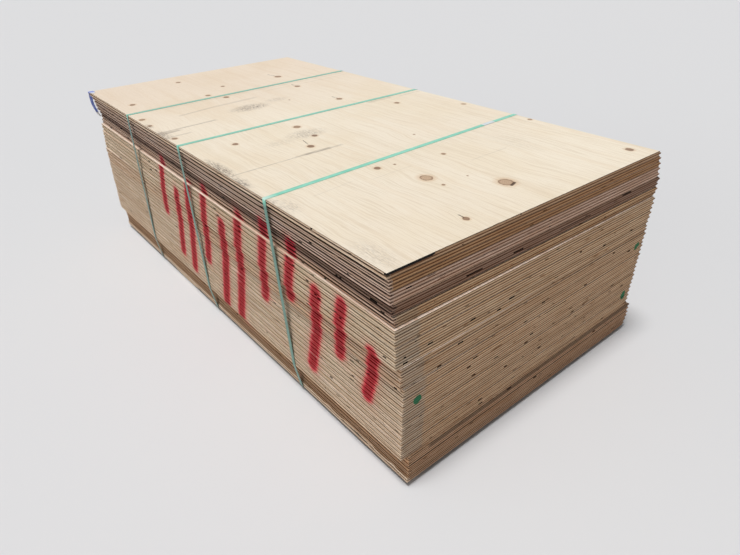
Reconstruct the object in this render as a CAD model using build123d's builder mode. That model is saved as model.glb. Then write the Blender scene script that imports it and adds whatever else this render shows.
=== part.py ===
# Strapped stack of tongue-and-groove plywood sheets on low bearers, with a corner tag.
# Millimetres. X runs along the sheets, Y across them, Z up. The grooved long edges face -Y.
from math import atan2, cos, degrees, hypot, radians, sin
import os

from build123d import *

# Plywood sheet, 4 by 8 feet over the tongue
SHEET_LENGTH = 2438.0
SHEET_OVERALL_WIDTH = 1219.0
SHEET_THICKNESS = 18.6
TONGUE_REACH = 11.0
TONGUE_ROOT_THICKNESS = 6.0
TONGUE_TIP_THICKNESS = 4.4
TONGUE_TIP_CHAMFER = 1.0
GROOVE_END_CLEARANCE = 1.0
GROOVE_SIDE_CLEARANCE = 0.3
LIP_CHAMFER = 0.7

SHEET_FACE_WIDTH = SHEET_OVERALL_WIDTH - TONGUE_REACH
GROOVE_DEPTH = TONGUE_REACH + GROOVE_END_CLEARANCE
GROOVE_MOUTH = TONGUE_ROOT_THICKNESS + 2 * GROOVE_SIDE_CLEARANCE
GROOVE_FLOOR = TONGUE_TIP_THICKNESS + 2 * GROOVE_SIDE_CLEARANCE

# How the stack was piled, from the top down, as runs of neighbouring sheets.
# Each run: first and last value of
# the setback of the front edge at the near end, the same at the far end,
# and how far the near end sticks out beyond the top sheet.
RUN_SHEET_COUNTS = (1, 2, 2, 2, 2, 7, 4, 15, 5, 1)
RUN_OFFSETS = (
    ((0.0, 0.0), (0.0, 0.0), (0.0, 0.0)),
    ((5.0, 7.0), (8.0, 14.0), (1.0, 0.5)),
    ((6.5, 7.0), (15.0, 18.0), (2.0, 4.0)),
    ((14.0, 11.0), (24.0, 28.0), (6.0, 1.0)),
    ((14.5, 20.0), (28.0, 25.0), (3.0, 1.5)),
    ((13.0, 13.5), (15.0, 5.0), (11.5, 11.0)),
    ((28.0, 27.0), (2.0, 2.0), (15.5, 13.5)),
    ((36.0, 30.0), (-1.0, -7.0), (16.0, 10.5)),
    ((54.0, 57.0), (10.0, 14.0), (17.0, 14.0)),
    ((52.0, 52.0), (9.0, 9.0), (13.0, 13.0)),
)
# Small unevenness from sheet to sheet, used over and over below the top sheet
UNEVEN_SETBACK = (0.0, 0.8, -0.6, 0.4, -0.9, 0.2, 0.7)
UNEVEN_END = (0.0, -0.7, 0.9, 0.3, -0.5)

# Bearers under the stack, hidden in its shadow
BEARER_THICKNESS = 19.0
BEARER_WIDTH = 89.0
BEARER_LENGTH = 1060.0
BEARER_MIDDLE_Y = 25.0
# Places of the bearers along the stack, as shares of the sheet length
BEARER_SHARES = (-0.41, -0.135, 0.135, 0.41)

# Plastic straps round the short way, with their ends welded in an overlap
STRAP_WIDTH = 19.0
STRAP_THICKNESS = 0.9
STRAP_CLEARANCE = 0.4
WELD_LENGTH = 72.0
# Each strap: where it crosses the top front edge, its drift per mm back and per mm down,
# and how far behind the front edge its weld lies on top, or None where the weld is at the back
STRAPS = (
    ("strap_far", -606.0, -0.0185, -0.098, None),
    ("strap_middle", -21.0, 0.005, -0.025, None),
    ("strap_near", 645.0, -0.04, 0.013, 1035.0),
)

# Bent plastic tag over the far front corner
TAG_THICKNESS = 1.2
TAG_CLEARANCE = 0.3
TAG_WIDTH = 21.0
TAG_TOP_LENGTH = 58.0
TAG_STRAIGHT_DROP = 75.0
TAG_DROP = 132.0
TAG_LEAN = 16.0
TAG_OVERLAP_FRONT = 5.0

# Corners of a strap's path that turn less than this (twice the triangle's area) count as straight
LEAST_TURN = 0.01

SHEET_COUNT = sum(RUN_SHEET_COUNTS)
STACK_TOP = BEARER_THICKNESS + SHEET_COUNT * SHEET_THICKNESS


def between(pair, step, steps):
    """Value at one step of an even run from the first to the last of the pair."""
    if steps == 1:
        return pair[0]
    return pair[0] + (pair[1] - pair[0]) * step / (steps - 1)


def pile():
    """Centre and turn of every sheet, from the top down: x, y, turn in radians."""
    places = []
    for count, (near, far, end) in zip(RUN_SHEET_COUNTS, RUN_OFFSETS):
        for step in range(count):
            number = len(places)
            uneven = UNEVEN_SETBACK[number % len(UNEVEN_SETBACK)]
            near_setback = between(near, step, count) + uneven
            far_setback = between(far, step, count) + uneven
            end_out = between(end, step, count) + UNEVEN_END[number % len(UNEVEN_END)]
            turn = atan2(near_setback - far_setback, SHEET_LENGTH)
            middle_x = end_out - SHEET_FACE_WIDTH / 2 * sin(turn)
            middle_y = (near_setback + far_setback) / 2
            places.append((middle_x, middle_y, turn))
    return places


PLACES = pile()


def corner_reach():
    """Lowest and highest x and y of all the sheets."""
    xs, ys = [], []
    for middle_x, middle_y, turn in PLACES:
        for along in (-SHEET_LENGTH / 2, SHEET_LENGTH / 2):
            for across in (-SHEET_FACE_WIDTH / 2, SHEET_FACE_WIDTH / 2 + TONGUE_REACH):
                xs.append(middle_x + along * cos(turn) - across * sin(turn))
                ys.append(middle_y + along * sin(turn) + across * cos(turn))
    return min(xs), max(xs), min(ys), max(ys)


LOW_X, HIGH_X, LOW_Y, HIGH_Y = corner_reach()
TAG_FACE_X = -SHEET_LENGTH / 2 - TAG_CLEARANCE - TAG_THICKNESS
MIDDLE_X = (min(LOW_X, TAG_FACE_X) + HIGH_X) / 2
MIDDLE_Y = (LOW_Y + HIGH_Y) / 2


def sheet_section():
    """Outline of a sheet seen from its end: y across, z up from the underside."""
    front = -SHEET_FACE_WIDTH / 2
    back = SHEET_FACE_WIDTH / 2
    top = SHEET_THICKNESS
    half = SHEET_THICKNESS / 2
    return [
        (front + LIP_CHAMFER, 0),
        (back - LIP_CHAMFER, 0),
        (back, LIP_CHAMFER),
        (back, half - TONGUE_ROOT_THICKNESS / 2),
        (back + TONGUE_REACH - TONGUE_TIP_CHAMFER, half - TONGUE_TIP_THICKNESS / 2),
        (back + TONGUE_REACH, half - TONGUE_TIP_THICKNESS / 2 + TONGUE_TIP_CHAMFER),
        (back + TONGUE_REACH, half + TONGUE_TIP_THICKNESS / 2 - TONGUE_TIP_CHAMFER),
        (back + TONGUE_REACH - TONGUE_TIP_CHAMFER, half + TONGUE_TIP_THICKNESS / 2),
        (back, half + TONGUE_ROOT_THICKNESS / 2),
        (back, top - LIP_CHAMFER),
        (back - LIP_CHAMFER, top),
        (front + LIP_CHAMFER, top),
        (front, top - LIP_CHAMFER),
        (front, half + GROOVE_MOUTH / 2),
        (front + GROOVE_DEPTH, half + GROOVE_FLOOR / 2),
        (front + GROOVE_DEPTH, half - GROOVE_FLOOR / 2),
        (front, half - GROOVE_MOUTH / 2),
        (front, LIP_CHAMFER),
    ]


def underside(number):
    """Height of a sheet's underside, counted from 1 at the top."""
    return BEARER_THICKNESS + (SHEET_COUNT - number) * SHEET_THICKNESS


def strap_points(start_x, drift_back, drift_down):
    """Where the sheets' edges pass under one strap, seen from the end: y and z."""
    points = []
    for number, (middle_x, middle_y, turn) in enumerate(PLACES, start=1):
        for across, up in sheet_section():
            z = underside(number) + up
            strap_x = start_x + drift_back * (across + SHEET_FACE_WIDTH / 2) + drift_down * (STACK_TOP - z)
            for side in (-STRAP_WIDTH / 2, STRAP_WIDTH / 2):
                along = (strap_x + side - middle_x + across * sin(turn)) / cos(turn)
                points.append((middle_y + along * sin(turn) + across * cos(turn), z))
    return points


def taut_outline(points, gap):
    """Tight outline round the points that keeps the gap away from them."""
    spread = []
    for y, z in points:
        for angle in range(0, 360, 45):
            spread.append((round(y + gap * cos(radians(angle)), 4), round(z + gap * sin(radians(angle)), 4)))
    spread = sorted(set(spread))
    outline = []
    for ordered in (spread, spread[::-1]):
        side = []
        for point in ordered:
            while len(side) > 1 and turn_of(side[-2], side[-1], point) < LEAST_TURN:
                side.pop()
            side.append(point)
        outline += side[:-1]
    return outline


def turn_of(a, b, c):
    """Twice the area of the triangle a, b, c, positive for a left turn."""
    return (b[0] - a[0]) * (c[1] - a[1]) - (b[1] - a[1]) * (c[0] - a[0])


def weld_corners(outline, top_setback):
    """Corners of the overlapped end that lies on one run of a strap's outline."""
    runs = list(zip(outline, outline[1:] + outline[:1]))
    if top_setback is None:
        back_runs = [run for run in runs if run[1][1] - run[0][1] > 2 * WELD_LENGTH]
        (y0, z0), (y1, z1) = max(back_runs, key=lambda run: run[1][1] - run[0][1])
        place = 0.5
    else:
        top_runs = [run for run in runs if run[0][0] - run[1][0] > SHEET_FACE_WIDTH / 2]
        (y0, z0), (y1, z1) = max(top_runs, key=lambda run: run[0][1])
        place = (y0 + SHEET_FACE_WIDTH / 2 - top_setback) / hypot(y1 - y0, z1 - z0)
    length = hypot(y1 - y0, z1 - z0)
    along = ((y1 - y0) / length, (z1 - z0) / length)
    out = (along[1] * STRAP_THICKNESS, -along[0] * STRAP_THICKNESS)
    low = place * length - WELD_LENGTH / 2
    high = place * length + WELD_LENGTH / 2
    start = (y0 + along[0] * low, z0 + along[1] * low)
    end = (y0 + along[0] * high, z0 + along[1] * high)
    return [start, (start[0] + out[0], start[1] + out[1]), (end[0] + out[0], end[1] + out[1]), end]


def on_strap_plane(corners, start_x, drift_back, drift_down):
    """Corners on the leaning plane of a strap, moved to the stack's middle."""
    placed = []
    for y, z in corners:
        x = start_x + drift_back * (y + SHEET_FACE_WIDTH / 2) + drift_down * (STACK_TOP - z)
        placed.append((x - MIDDLE_X, y - MIDDLE_Y, z))
    return placed


os.makedirs("parts", exist_ok=True)

# Tongue-and-groove sheets
for number, (middle_x, middle_y, turn) in enumerate(PLACES, start=1):
    sheet_plane = Plane(
        origin=(middle_x - MIDDLE_X, middle_y - MIDDLE_Y, underside(number)),
        x_dir=(-sin(turn), cos(turn), 0),
        z_dir=(cos(turn), sin(turn), 0),
    )
    with BuildPart() as sheet:
        with BuildSketch(sheet_plane):
            with BuildLine():
                Polyline(*sheet_section(), close=True)
            make_face()
        extrude(amount=SHEET_LENGTH / 2, both=True)
    sheet.part.label = f"sheet_{number:02d}"
    export_step(sheet.part, f"parts/sheet_{number:02d}.step")

# Bearers
for number, share in enumerate(BEARER_SHARES, start=1):
    with BuildPart() as bearer:
        with Locations((share * SHEET_LENGTH - MIDDLE_X, BEARER_MIDDLE_Y - MIDDLE_Y, 0)):
            Box(
                BEARER_WIDTH,
                BEARER_LENGTH,
                BEARER_THICKNESS,
                align=(Align.CENTER, Align.CENTER, Align.MIN),
            )
    bearer.part.label = f"bearer_{number}"
    export_step(bearer.part, f"parts/bearer_{number}.step")

# Straps pulled tight, each with a welded overlap
for name, start_x, drift_back, drift_down, top_setback in STRAPS:
    touched = strap_points(start_x, drift_back, drift_down)
    inner = taut_outline(touched, STRAP_CLEARANCE)
    outer = taut_outline(touched, STRAP_CLEARANCE + STRAP_THICKNESS)
    weld = weld_corners(outer, top_setback)
    lean = (start_x - STRAP_WIDTH / 2, drift_back, drift_down)
    with BuildPart() as strap:
        for corners, mode in ((outer, Mode.ADD), (inner, Mode.SUBTRACT), (weld, Mode.ADD)):
            with BuildLine(mode=Mode.PRIVATE) as edge:
                Polyline(*on_strap_plane(corners, *lean), close=True)
            extrude(Face(edge.wire()), amount=STRAP_WIDTH, dir=(1, 0, 0), mode=mode)
    strap.part.label = name
    export_step(strap.part, f"parts/{name}.step")

# Corner tag, bent over the top edge and hanging down the far end
tag_front = -SHEET_FACE_WIDTH / 2 - TAG_OVERLAP_FRONT - MIDDLE_Y
tag_outer = TAG_FACE_X - MIDDLE_X
tag_low = STACK_TOP + TAG_CLEARANCE
with BuildPart() as corner_tag:
    with BuildSketch(Plane(origin=(tag_outer, 0, 0), x_dir=(0, 1, 0), z_dir=(1, 0, 0))):
        with BuildLine():
            Polyline(
                (tag_front, tag_low + TAG_THICKNESS),
                (tag_front, STACK_TOP - TAG_STRAIGHT_DROP),
                (tag_front + TAG_LEAN, STACK_TOP - TAG_DROP),
                (tag_front + TAG_LEAN + TAG_WIDTH, STACK_TOP - TAG_DROP),
                (tag_front + TAG_WIDTH, STACK_TOP - TAG_STRAIGHT_DROP),
                (tag_front + TAG_WIDTH, tag_low + TAG_THICKNESS),
                close=True,
            )
        make_face()
    extrude(amount=TAG_THICKNESS)
    with Locations((tag_outer, tag_front, tag_low)):
        Box(TAG_TOP_LENGTH, TAG_WIDTH, TAG_THICKNESS, align=(Align.MIN, Align.MIN, Align.MIN))
corner_tag.part.label = "corner_tag"
export_step(corner_tag.part, "parts/corner_tag.step")
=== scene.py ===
import math

import bmesh
import bpy
import numpy as np
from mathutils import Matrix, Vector
from mathutils.geometry import delaunay_2d_cdt


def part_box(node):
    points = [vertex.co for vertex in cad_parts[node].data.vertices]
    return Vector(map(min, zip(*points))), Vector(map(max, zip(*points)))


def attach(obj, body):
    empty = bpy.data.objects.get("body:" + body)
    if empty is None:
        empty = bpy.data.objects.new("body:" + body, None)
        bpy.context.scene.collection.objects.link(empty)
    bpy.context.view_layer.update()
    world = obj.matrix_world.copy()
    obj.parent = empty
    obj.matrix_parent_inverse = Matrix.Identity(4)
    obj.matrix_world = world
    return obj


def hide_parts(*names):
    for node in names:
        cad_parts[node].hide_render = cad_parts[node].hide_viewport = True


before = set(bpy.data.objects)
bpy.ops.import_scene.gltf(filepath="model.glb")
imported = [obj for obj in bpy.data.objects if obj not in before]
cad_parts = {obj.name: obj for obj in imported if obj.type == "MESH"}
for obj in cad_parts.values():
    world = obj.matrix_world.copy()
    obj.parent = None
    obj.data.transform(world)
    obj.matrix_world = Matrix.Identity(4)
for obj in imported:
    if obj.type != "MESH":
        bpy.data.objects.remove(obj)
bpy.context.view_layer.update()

MM = 0.001

# Camera at the photograph's viewing angle
CAMERA_AZIMUTH = 53.0106
CAMERA_ELEVATION = 31.7097
CAMERA_ROLL = -2.3571
CAMERA_PLACE = (2.08400, -1.33606, 1.46342)
CAMERA_NEAREST = 0.05
CAMERA_FARTHEST = 80
SENSOR_WIDTH = 36.0
FOCAL_PIXELS = 567.256
IMAGE_WIDTH = 740

# Light: glow of the sky low down and high up, and the heights between which it grows
AMBIENT_LOW = 0.03
AMBIENT_HIGH = 0.30
AMBIENT_RISE = (0.50, 0.95)
# Extra glow on the grooved side, and the heights between which it fades
FRONT_GLOW = 1.7
FRONT_GLOW_TOP = (0.20, 0.60)
SUN_SHARE = 0.785
SUN_FROM = (0.02, -0.19, 0.98)
SUN_PLACE = (0, -3, 4)
SUN_SOFTNESS = 0.25
FLOOR_COLOUR = (0.72, 0.72, 0.73)
FLOOR_HALF = 60
BACKGROUND = 0.74
WHITE = (1.0, 1.0, 1.0, 1.0)

# Section of a sheet
THICKNESS = 18.6 * MM
TONGUE_REACH = 11 * MM
TONGUE_ROOT = 6.0 * MM
TONGUE_TIP = 4.4 * MM
TONGUE_CHAMFER = 1 * MM
GROOVE_DEPTH = 12 * MM
GROOVE_MOUTH = 6.6 * MM
GROOVE_FLOOR = 5.0 * MM
LIP_CHAMFER = 0.7 * MM
FACE_PLY = 2.8 * MM
# Heights of the layers' boundaries, five layers in a sheet
PLY_HEIGHTS = (0, FACE_PLY, 7.3 * MM, 11.3 * MM, THICKNESS - FACE_PLY, THICKNESS)

SHEET_NAMES = sorted(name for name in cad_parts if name.startswith("sheet_"))
TOP_LOW, TOP_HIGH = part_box("sheet_01")
STACK_TOP = TOP_HIGH.z
TOP_MIDDLE_X = (TOP_LOW.x + TOP_HIGH.x) / 2
TOP_MIDDLE_Y = (TOP_LOW.y + TOP_HIGH.y - TONGUE_REACH) / 2

# Sheets where the look changes, counted from the top
TOP_SHEET = 1
FIRST_AGED = 2
FIRST_AGED_ON_ENDS = 6
FIRST_TAN = 8
FIRST_PALE = 10
LEDGE_SHEET = 17
FIRST_LOW = 36
LOWEST = len(SHEET_NAMES)

# Rows of corners on every side, from the underside up
END_ROWS = (
    0, LIP_CHAMFER, PLY_HEIGHTS[1], (PLY_HEIGHTS[1] + PLY_HEIGHTS[2]) / 2, PLY_HEIGHTS[2],
    PLY_HEIGHTS[3], (PLY_HEIGHTS[3] + PLY_HEIGHTS[4]) / 2, PLY_HEIGHTS[4],
    THICKNESS - LIP_CHAMFER, THICKNESS,
)
ROW_COUNT = len(END_ROWS)
ARRIS_ROWS = (0, ROW_COUNT - 1)
LIP_ROWS = (1, ROW_COUNT - 2)
MOUTH_ROWS = (3, 6)
GROOVE_FLOOR_ROWS = (4, 5)

# Kinds of surface and sides of a sheet
FACE, LONG_EDGE, CUT_END = 0, 1, 2
GROOVE_SIDE, TONGUE_SIDE, NEAR_END, FAR_END = 0, 1, 2, 3

# Rows between which the listed core gaps of the grooved side lie
OVER_GROOVE, UNDER_GROOVE = (6, 8), (1, 3)
# The same for the gaps that are not listed; on a cut end, the lowest and the highest row of all
FRONT_GAP_ROWS = ((6, 7), (2, 3))
BACK_GAP_ROWS = ((1, 2), (7, 8))
END_GAP_ROWS = (2, 7)
# Core gaps that are not listed below: least length and how much longer they can be
GAP_LENGTH = (6, 14)
END_GAP_LENGTH = (6, 16)
SUNK_DEPTH = 14 * MM
GAP_MARGIN = 10 * MM
END_GAP_MARGIN = 8 * MM
# First and last column of a cut end, in from its corners
END_LOW, END_HIGH = GROOVE_DEPTH + 2 * MM, 3 * MM

# Seeds of what is drawn at random
SHEET_SEED, COLOUR_SEED, TOP_SEED, TAG_SEED, SPLINTER_SEED = 1000, 5000, 11, 77, 91

# Spacing of the corners along the edges and on the top face
FRONT_STEP = 11 * MM
BACK_STEP = 24 * MM
END_STEP = 13 * MM
TOP_STEP = 15 * MM
SPRAY_STEP = 5
# Least distance of a corner from the ends of a long edge and of a cut end, from the border
# of the top face, and of a regular corner from one that a feature needs
LONG_MARGIN, END_MARGIN, TOP_MARGIN, CLEAR_SPACE = 6 * MM, 2 * MM, 3 * MM, 1.5 * MM
# Corners along a crack or streak of the top face: spacing in mm, and places in half widths
LINE_STEP = 12
LINE_SIDES = (-1.6, -1, -0.5, 0, 0.5, 1, 1.6)

# Wear of an edge: side, axis, way in, axis along it, waves as (spacing, depth), number of chips
EDGE_WEAR = (
    (GROOVE_SIDE, 1, 1, 0, ((160 * MM, 0.8 * MM), (14 * MM, 0.45 * MM)), 12),
    (TONGUE_SIDE, 1, -1, 0, ((160 * MM, 0.8 * MM), (24 * MM, 0.45 * MM)), 6),
    (NEAR_END, 0, -1, 1, ((220 * MM, 0.35 * MM), (14 * MM, 0.3 * MM)), 4),
    (FAR_END, 0, 1, 1, ((220 * MM, 0.35 * MM), (14 * MM, 0.3 * MM)), 4),
)
WEAR_STEP = 4 * MM
END_ARRIS = 0.9 * MM
# Rows that a chip takes, first the deeper one, and how often;
# length and depth in the other row, as shares of those in the deeper one
CHIP_ROWS = ((9, 8), (0, 1), (6, 6), (3, 3))
CHIP_SHARES = (0.4, 0.3, 0.15, 0.15)
BESIDE = (0.8, 0.7)
# Half length and depth of a chip, each as the least and how much more it can be
CHIP_HALF = (5, 26)
CHIP_DEPTH = (0.8, 2.6)
# How much the wood's brightness changes from sheet to sheet and along a sheet
SHEET_SHIFT = 0.16
LENGTH_SHIFT = 0.14
# How far the groove's floor is lit in from the near end
LIT_GROOVE = 14 * MM
# Greyer strip of the near end beside the grooved corner
GREY_STRIP_WIDTH = 84 * MM
GREY_STRIP_TINT = (0.86, 0.95, 1.08)
# Places across the stack, in mm: where the near end's painted ledge highlight and painted
# shadow under the overhang begin, and where the painted shadow under the top sheet's corner ends
SHADOW_START = -470
CORNER_GAP_END = -455
CORNER_GAP_ROWS = (6, 7, 8)
# Broken places of the lowest sheet's upper lip: along the stack, half length, depth;
# and the rows that break, with their share of the depth
BROKEN_LIP = ((930, 30, 4), (985, 45, 7), (1045, 34, 5), (1160, 20, 3), (820, 26, 3))
BROKEN_LIP_ROWS = ((6, 0.5), (7, 0.5), (8, 1.0), (9, 1.0))


def colour(red, green, blue):
    """Linear colour from the usual 0 to 255 numbers."""
    linear = []
    for value in (red, green, blue):
        share = value / 255
        linear.append(share / 12.92 if share <= 0.04045 else ((share + 0.055) / 1.055) ** 2.4)
    return (*linear, 1.0)


# Colour of the long edges and of the cut ends, run by run from the top
EDGE_COLOURS = (
    (1, 1, colour(252, 232, 208), colour(206, 172, 138)),
    (2, 3, colour(252, 226, 206), colour(192, 152, 112)),
    (4, 5, colour(244, 218, 202), colour(228, 198, 178)),
    (6, 7, colour(156, 130, 116), colour(160, 130, 110)),
    (8, 9, colour(244, 214, 192), colour(222, 190, 152)),
    (10, 16, colour(254, 236, 208), colour(230, 202, 168)),
    # Sheets 17 to 20: darker long edges, partly painted shade under the overhanging run above, partly
    # dirt
    (17, 20, colour(238, 212, 184), colour(224, 194, 160)),
    (21, 35, colour(254, 234, 208), colour(226, 196, 162)),
    # Sheets 36 to 40: darker long edges, partly painted shade under the overhanging run above, partly
    # browner wood
    (36, 40, colour(208, 172, 138), colour(202, 168, 136)),
    (41, 41, colour(252, 232, 208), colour(196, 164, 134)),
)
FACE_COLOUR = colour(250, 232, 216)
FACE_COLOUR_AGED = colour(190, 160, 134)
FACE_COLOUR_LOW = colour(166, 138, 112)
BRIGHTEST = 0.9

# Knot holes and core gaps that show on the grooved long side:
# place along the stack and height below its top, length, both in millimetres
FRONT_VOIDS = (
    (-494, -187, 24), (-411, -205, 26), (-491, -224, 24), (194, -187, 20), (218, -205, 18),
    (393, -187, 16), (393, -206, 18), (719, -171, 16), (751, -190, 14), (828, -209, 15),
    (884, -246, 18), (-961, -295, 32), (-877, -126, 30), (-1069, -162, 32), (-786, -156, 28),
    (889, -549, 16), (-1144, -548, 34), (1150, -112, 30), (867, -236, 14), (915, -162, 12),
    (990, -257, 12), (1186, -277, 14), (988, -120, 10), (1006, -120, 10), (839, -23, 16),
    (875, -61, 14), (902, -7, 10), (1202, -388, 12), (-640, -338, 24), (-210, -270, 18),
    (60, -316, 18), (330, -392, 15), (560, -430, 16), (-310, -455, 20), (-720, -520, 24),
    (120, -560, 16), (470, -610, 14), (1010, -470, 12), (-1010, -610, 28), (700, -680, 18),
)
# The same on the near cut end: place across the stack, height below the top, length,
# height in layers
END_VOIDS = (
    (-416, -235, 16, 1), (-466, -269, 20, 2), (-301, -268, 22, 2), (-134, -268, 26, 2),
    (347, -268, 18, 2), (515, -268, 18, 2), (-564, -271, 24, 2), (-555, -290, 18, 2),
    (-189, -288, 18, 2), (303, -193, 16, 1), (-351, -326, 22, 2), (-193, -342, 16, 1),
    (-430, -371, 18, 2), (-203, -377, 16, 1), (39, -365, 18, 2), (545, -371, 20, 2),
    (-44, -402, 20, 2), (-280, -419, 20, 2), (-305, -443, 18, 2), (113, -418, 124, 1),
    (286, -405, 18, 2), (0, -474, 18, 2), (-176, -477, 20, 2), (-278, -487, 18, 2),
    (-24, -500, 18, 2), (236, -496, 18, 2), (488, -495, 20, 2), (-411, -539, 16, 1),
    (564, -531, 18, 2), (-234, -621, 20, 2), (-343, -626, 16, 1), (207, -633, 174, 1),
    (-229, -642, 18, 2), (57, -689, 20, 2), (-535, -66, 20, 1), (-461, -60, 28, 1),
    (150, -113, 154, 1), (-120, -118, 44, 2), (420, -100, 54, 2), (-300, -112, 64, 2),
    (60, -560, 18, 2), (330, -585, 16, 1), (-90, -655, 22, 2), (420, -672, 18, 2),
    (-480, -700, 16, 1), (-330, -205, 16, 1), (-60, -228, 12, 1), (200, -240, 14, 2),
    (430, -330, 16, 2), (130, -310, 14, 1), (-500, -512, 14, 1), (-120, -545, 14, 2),
    (260, -528, 14, 1), (470, -640, 16, 2),
)

# Knots in the top face: place along and across, radius, and how pale the knot is
TOP_KNOTS = (
    (-775, 276, 15, 0.35), (-504, 232, 12, 0.3), (-142, 237, 12, 0.3), (-795, -45, 9, 0.3),
    (-1064, -178, 11, 0.4), (-571, -134, 12, 0.3), (-671, -184, 11, 0.5), (-772, -524, 12, 0.3),
    (-482, -579, 12, 0.5), (-364, -587, 9, 0.3), (-119, -576, 10, 0.4), (107, 380, 10, 0.2),
    (334, 574, 9, 0.9), (684, 590, 8, 0.6), (1142, 545, 12, 0.2), (94, -144, 13, 0.45),
    (241, -155, 10, 0.15), (337, -236, 12, 0.1), (115, -431, 10, 0.2), (681, -197, 10, 0.15),
    (694, -132, 4, 0.1), (733, 58, 7, 0.4), (854, -137, 19, 1.0), (931, -137, 5, 0.2),
    (1047, 17, 22, 0.9), (1141, -258, 9, 0.25), (930, -30, 3, 0.3), (-300, 60, 4, 0.3),
    (500, 130, 4, 0.4),
)
# Rings of corners round a knot, in radii, and the number of corners in a ring
KNOT_RINGS = (0.0, 0.25, 0.5, 0.7, 0.85, 0.95, 1.05, 1.2, 1.5, 2.0, 2.8)
RING_CORNERS = 24
# Dark rubbed streaks on the top face: from and to (along, across), half width, strength
TOP_STREAKS = (
    ((402, -146), (402, -200), 5, 0.5), ((401, -196), (400, -296), 8, 0.8),
    ((400, -290), (401, -340), 5, 0.6), ((402, -330), (406, -598), 3, 0.5),
    ((-222, -560), (-218, -598), 12, 0.55), ((-462, -40), (-448, -250), 10, 0.28),
    ((-448, -250), (-420, -430), 7, 0.35), ((-243, -350), (-232, -598), 6, 0.55),
    ((-216, -520), (-206, -598), 9, 0.6), ((-150, -500), (-146, -598), 5, 0.4),
    ((7, 420), (9, 300), 9, 0.3), ((20, 590), (22, 470), 5, 0.25),
    ((-637, 590), (-632, 440), 9, 0.55), ((-632, 440), (-628, -560), 6, 0.16),
    ((-590, 560), (-583, -420), 6, 0.13), ((-545, 560), (-540, 80), 6, 0.1),
    ((840, 260), (842, 90), 3, 0.16), ((742, -100), (745, -260), 3, 0.12),
    ((716, -330), (730, -480), 3, 0.12),
)
# Rubbed patches: middle (along, across), half sizes, strength
TOP_PATCHES = (
    (-316, -140, 46, 84, 1.15), (-350, 20, 30, 55, 0.45), (197, -165, 48, 76, 0.7),
    (222, -300, 34, 60, 0.3), (-190, -592, 70, 22, 1.1), (-360, -594, 34, 14, 1.0),
    (320, -592, 110, 20, 1.7), (480, -594, 54, 18, 1.4), (740, -580, 50, 34, 0.5),
    (680, -596, 24, 9, 1.2), (1130, -566, 90, 34, 0.35), (820, 330, 120, 60, 0.14),
)
CRACKS = (
    ((262, -220), (318, -232), 1.4), ((1066, 34), (1074, 10), 5.0),
    ((1112, -256), (1132, -258), 2.0), ((-860, 262), (-790, 274), 2.0),
    ((-560, 232), (-516, 232), 2.0), ((-200, 236), (-156, 238), 2.0),
)

# Red sprayed marks on the grooved side, a row of slanted bars: place along at the upper end,
# heights of the upper and lower end below the top, half width
SPRAY_BARS = (
    (-330, -150, -390, 21), (-200, -250, -560, 22), (-60, -180, -600, 23), (100, -150, -480, 22),
    (235, -240, -640, 24), (385, -160, -660, 24), (575, -115, -430, 22), (745, -120, -330, 22),
    (868, -230, -570, 23), (1000, -205, -420, 21), (1128, -300, -500, 21),
)
# How far a bar runs back along the stack for each millimetre down
SPRAY_SLANT = 0.26
SPRAY_STROKES = [
    ((x, top), (x - SPRAY_SLANT * (top - low), low), half) for x, top, low, half in SPRAY_BARS
]
SPRAY_SOFTNESS = 32
# Faint mist beside a bar: how wide in half widths of the bar, and how strong
MIST_REACH = 3.6
MIST_STRENGTH = 0.36
# Green paint dabs on the near end: place across, height below top, half width, half height
GREEN_DABS = ((-514, -439, 15, 16), (599, -365, 15, 16), (596, -586, 15, 19))

# Outline of the corner tag: along its top flap then down its leg, its front and its rear side.
# Flap rows: in from the far end, front side, rear side.
TAG_FLAP = (
    (64, 4, 9), (56, 1, 15), (46, -1, 21), (34, -3, 23), (22, -4, 21), (11, -4, 19), (3, -4, 17),
)
# Leg rows: below the top, front side, rear side
TAG_LEG = (
    (3, -4, 15), (12, -4, 13), (24, -5, 11), (36, -5, 10), (50, -5, 9), (64, -4, 9), (76, -2, 11),
    (88, 1, 14), (98, 4, 17), (107, 7, 19), (114, 9, 20), (121, 13, 23), (128, 19, 26),
    (135, 25, 28),
)
# White of the flap and of the leg: from which distance on, and how much
FLAP_WHITE = ((34, 1.0), (24, 0.4))
LEG_WHITE = ((108, 1.0), (90, 0.35))
# The leg's end is ragged from here on
RAGGED_START = 100
TAG_COLUMNS = 7
TAG_THICKNESS = 1.2 * MM

# Loose splinters on the lowest sheet's front: along the stack, start and end;
# drop in the middle; height
SPLINTERS = (
    (-527, -219, 6.0, 8.0), (-690, -610, 2.0, 4.0), (-588, -536, 1.5, 3.0),
    (-205, -150, 2.0, 3.5), (236, 322, 2.5, 3.5),
)
SPLINTER_THICKNESS = 0.9 * MM


def show(thing):
    """Puts an object in the scene."""
    bpy.context.scene.collection.objects.link(thing)
    return thing


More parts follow.
